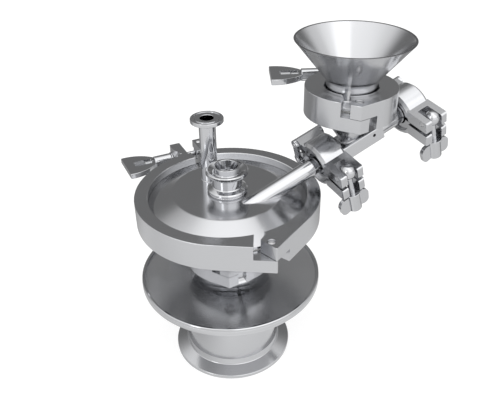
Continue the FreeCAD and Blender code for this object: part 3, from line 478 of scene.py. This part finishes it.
def thread(name, start, plain, end, place, body, stands_for, radius=2.5, pitch=0.8, depth=0.42, tip=0.7,
           around=36):
    """Screwed rod along Z: a plain shank, then r = radius - depth (1 - cos(2 pi z / pitch - t)) / 2, a
    chamfer at its tip, and both ends closed."""
    rows = int((end - start) / pitch * 9)
    height = np.linspace(start, end, rows)[:, None]
    turn = np.linspace(0, 2 * np.pi, around, endpoint=False)[None]
    cut = np.clip((height - plain) / pitch, 0, 1)
    size = radius - depth * cut * (1 - np.cos(2 * np.pi * height / pitch - turn)) / 2
    size = np.minimum(size, radius - tip + (end - height))
    spots = np.stack([size * np.cos(turn), size * np.sin(turn), height + 0 * turn], 2).reshape(-1, 3)
    spots = np.concatenate([spots, [[0, 0, start], [0, 0, end]]])
    spots = (spots @ place[0].T + place[1]) * 0.001
    index = np.arange(rows * around).reshape(rows, around)
    beside = np.roll(index, -1, 1)
    quads = np.stack([index[:-1], beside[:-1], beside[1:], index[1:]], 2).reshape(-1, 4).tolist()
    low, high = rows * around, rows * around + 1
    quads += [[low, b, a] for a, b in zip(index[0].tolist(), beside[0].tolist())]
    quads += [[high, a, b] for a, b in zip(index[-1].tolist(), beside[-1].tolist())]
    return show(name, smooth_mesh(name, spots, quads, bright_steel), body, "hardware_steel", *stands_for)


def pin(name, radius, low, high, dome, place, stands_for):
    """Pin with a chamfer below and a domed head: an ellipse r cos t, dome sin t."""
    head = [(radius * math.cos(t), high - dome + dome * math.sin(t), 0) for t in (0.35, 0.7, 1.05, 1.35)]
    turned(name, [(0, low, 0), (radius, low, 0.35), (radius, high - dome, 0.12)] + head + [(0, high, 0)],
           place, painted_sheen_pin_steel, "mill", "hardware_steel", stands_for, 48)


def washer(clamp, low, high, rounding, radius, place, around):
    """Flat washer with broken edges, on the clamp's bolt."""
    body = clamp.split("_")[0] + "_washer"
    turned(clamp + "_flat_washer",
           [(2.55, low, 0.1), (radius, low, rounding), (radius, high, rounding), (2.55, high, 0.1)],
           place, bright_steel, body, "hardware_steel", [clamp + "_washer"], around)


hopper_x, hopper_y = 92.16, -21.86
pivot_x, pivot_out, hinge_in, washer_x = 10.0, 16.0, 8.6, -15.42
for clamp, ring_r, reach_r, x, y, mid, turn in (
        ("head_clamp", 70.0, 81.395, 0, 0, 140.5, -3.2),
        ("outlet_clamp", 34.05, 39.593, 0, 0, 98.8, -27.7),
        ("hopper_clamp", 34.05, 39.593, hopper_x, hopper_y, 213.7, -26.2)):
    tag = clamp.split("_")[0]
    here = standing(x, y, mid, turn)
    pivot_y = ring_r + pivot_out
    pivot = within(here, standing(pivot_x, pivot_y))
    broken_edges(clamp + "_left_half", satin_steel, "clamp_steel")
    broken_edges(clamp + "_right_half", satin_steel, "clamp_steel")
    broken_edges(clamp + "_paddle_nut", bright_steel, "hardware_steel", 0.0002, tag + "_nut")
    pin(clamp + "_hinge_rivet", 3.0, -9.3, 9.9, 1.5, within(here, standing(0, hinge_in - reach_r)),
        [clamp + "_hinge_pin"])
    pin(clamp + "_bolt_rivet", 2.0, -10.5, 11.3, 0.8, pivot, [clamp + "_bolt_pin"])
    turned(clamp + "_bolt_eye", [(2.05, -4.0, 0.3), (4.5, -4.0, 0.5), (4.5, 4.0, 0.5), (2.05, 4.0, 0.3)],
           pivot, bright_steel, tag + "_bolt", "hardware_steel", [], 64)
    thread(clamp + "_bolt_thread", 3.6, 22.0, 48.92, within(here, tilted("Y", -90, pivot_x, pivot_y)),
           tag + "_bolt", [clamp + "_swing_bolt"])
    washer(clamp, -0.5, 0.48, 0.2, 5.5, within(here, tilted("Y", -90, washer_x, pivot_y)), 64)


# Feeder. A slanting tube, the injector's bar and the gas nozzle at its end, all of polished steel and
# on one axis.
slope_degrees = 18.4
slope = math.radians(slope_degrees)


def up_feeder(mix, place):
    """Distance along the slanting axis of the feeder."""
    return mix.dot(place, (math.cos(slope), 0, math.sin(slope)))


feeder_steel = steel("feeder_steel", stainless, 0.11, 4200.0, up_feeder, 0.03)
dress(feeder_steel, "feed_tube", "gas_nozzle")
broken_edges("injector_body", feeder_steel, "polished_steel", 0.0003)

# Hopper. A spun funnel with a dull cut edge stands on a turned conical seat. Both are of polished
# steel, and their ferrules meet inside the hopper's clamp.
hopper_steel = steel("hopper_steel", stainless, 0.18, 5200.0, outline_length, 0.03)
cut_edge = steel("cut_edge", (0.3, 0.3, 0.31), 0.3, 2600.0, outline_length)
turned("hopper_cone", [
    (3.9, 179.9, 0.1), (6.5, 179.9, 0.1), (6.5, 181.61, 1.0), (12.0, 189.3, 6.0), (19.05, 201.7, 2.0),
    (19.05, 208.16, 0.3), (19.65, 208.96, 0.4), (25.25, 211.0, 0.4), (25.25, 212.9, 0.3),
    (17.4, 212.9, 0.2), (17.4, 201.7, 2.0), (9.4, 189.3, 4.0), (3.9, 181.61, 0.5)],
    standing(hopper_x, hopper_y), turned_steel, "mill", "polished_steel", ["hopper_seat"], 128)
turned("spun_hopper", [
    (17.4, 214.5, 0.2), (25.25, 214.5, 0.3), (25.25, 216.4, 0.4), (19.3, 218.44, 0.4), (18.6, 219.24, 0.3),
    (18.6, 228.6, 9.0), (42.8, 258.5, 0.1), (41.5, 258.5, 0.1), (17.1, 228.3, 8.0)],
    standing(hopper_x, hopper_y), hopper_steel, "mill", "polished_steel", ["hopper"], 256)
turned("hopper_cut_edge", [
    (41.35, 258.3, 0.05), (42.7, 258.3, 0.05), (42.9, 258.6, 0.1), (41.3, 258.6, 0.1)],
    standing(hopper_x, hopper_y), cut_edge, "mill", "polished_steel", [], 256)


# Feeder's welds and screw. One bead joins the tube to the cover and one the hopper's seat to the bar,
# and a small grub screw holds the nozzle in the bar; it is painted near black, as painted shade for its
# hole.
def on_cover(starts, direction, fall=0.3783, edge=41.5, passes=12):
    """Where lines from points in mm meet the cover: z is its top as far as the edge, and falls by
    fall (r - edge) outside. Each pass takes the height under the points of the one before."""
    spots = starts + ((cover_top - starts[:, 2]) / direction[2])[:, None] * direction
    for _ in range(passes):
        radius = np.hypot(spots[:, 0], spots[:, 1])
        level = np.minimum(cover_top, cover_top - fall * (radius - edge))
        spots = starts + ((level - starts[:, 2]) / direction[2])[:, None] * direction
    return spots


feed_foot = 21.2
down_feed = within(standing(feed_foot, hopper_y, cover_top), tilted("Y", -slope_degrees))
tube_r = 6.35
tube_ring = np.stack([0 * lap, tube_r * np.cos(lap), tube_r * np.sin(lap)], 1)
tube_side = tube_ring @ down_feed[0].T + down_feed[1]
seam("feed_tube_weld", on_cover(tube_side, np.array([math.cos(slope), 0, math.sin(slope)])), 0.35, 90)
bar_mid, bar_half, seat_r = 175.41, 6.43, 6.6
seat_z = bar_mid + bar_half + math.tan(slope) * seat_r * np.cos(lap)
seam("hopper_seat_weld", circle(hopper_x, hopper_y, seat_z, seat_r), 0.8, 40)
# Near-black steel: painted shade that makes the screw's hole in the bar look dark.
hole_shade_black = steel("hole_shade_black", (0.05, 0.05, 0.055), 0.4, 1500.0, outline_length)
turned("grub_screw", [
    (0, 7.15, 0), (1.4, 7.15, 0.1), (1.4, 8.9, 0.15), (0.9, 8.9, 0.1), (0.8, 7.9, 0.1), (0, 7.7, 0)],
    within(down_feed, tilted("X", 90, 94.5, 0, 1.5)), hole_shade_black, "mill", "hardware_steel", [], 40)

# Pipe clamps. Each has two forked halves of satin steel on a pair of hinge links, and a swing bolt with a
# ball end, a washer and a wing nut; both clamps hang turned about the feeder.
roll_degrees, lean_degrees = 8.5, -5.0
pivot_y, pivot_z, link_y, link_z = -29.1, 8.2, 20.8, 7.8
ball_r, ball_flat = 5.8, 4.2
ball = [(math.sqrt(ball_r ** 2 - x * x), x, 0) for x in np.linspace(-ball_flat, ball_flat, 15)]
for clamp, at in (("feed_clamp", 54.0), ("gas_clamp", 132.8)):
    tag = clamp.split("_")[0]
    here = within(down_feed, tilted("X", roll_degrees, at))
    hanging = within(here, tilted("X", lean_degrees, 0, pivot_y, pivot_z))
    broken_edges(clamp + "_upper_half", satin_steel, "clamp_steel")
    broken_edges(clamp + "_lower_half", satin_steel, "clamp_steel")
    broken_edges(clamp + "_hinge_links", bright_steel, "hardware_steel")
    broken_edges(clamp + "_wing_nut", bright_steel, "hardware_steel", 0.0003, tag + "_nut")
    for number, z in ((1, -link_z), (2, link_z)):
        for end, side in (("near", -90), ("far", 90)):
            pin("%s_pin_%d_%s" % (clamp, number, end), 2.0, -0.5, 13.4, 0.9,
                within(here, tilted("Y", side, 0, link_y, z)),
                [clamp + "_hinge_pins"] if (number, end) == (2, "far") else [])
    pin(clamp + "_bolt_rivet", 2.0, -10.0, 10.0, 0.5, within(here, tilted("Y", -90, 0, pivot_y, pivot_z)),
        [clamp + "_bolt_pin"])
    turned(clamp + "_bolt_ball", [(2.05, -ball_flat, 0.2)] + ball + [(2.05, ball_flat, 0.2)],
           within(hanging, tilted("Y", -90)), bright_steel, tag + "_bolt", "hardware_steel", [], 72)
    thread(clamp + "_bolt_thread", 4.6, 19.0, 38.6, within(hanging, tilted("X", 180)), tag + "_bolt",
           [clamp + "_swing_bolt"])
    washer(clamp, 19.62, 20.6, 0.25, 6.5, within(hanging, tilted("X", 180)), 72)

bpy.context.scene.view_settings.view_transform = "Standard"
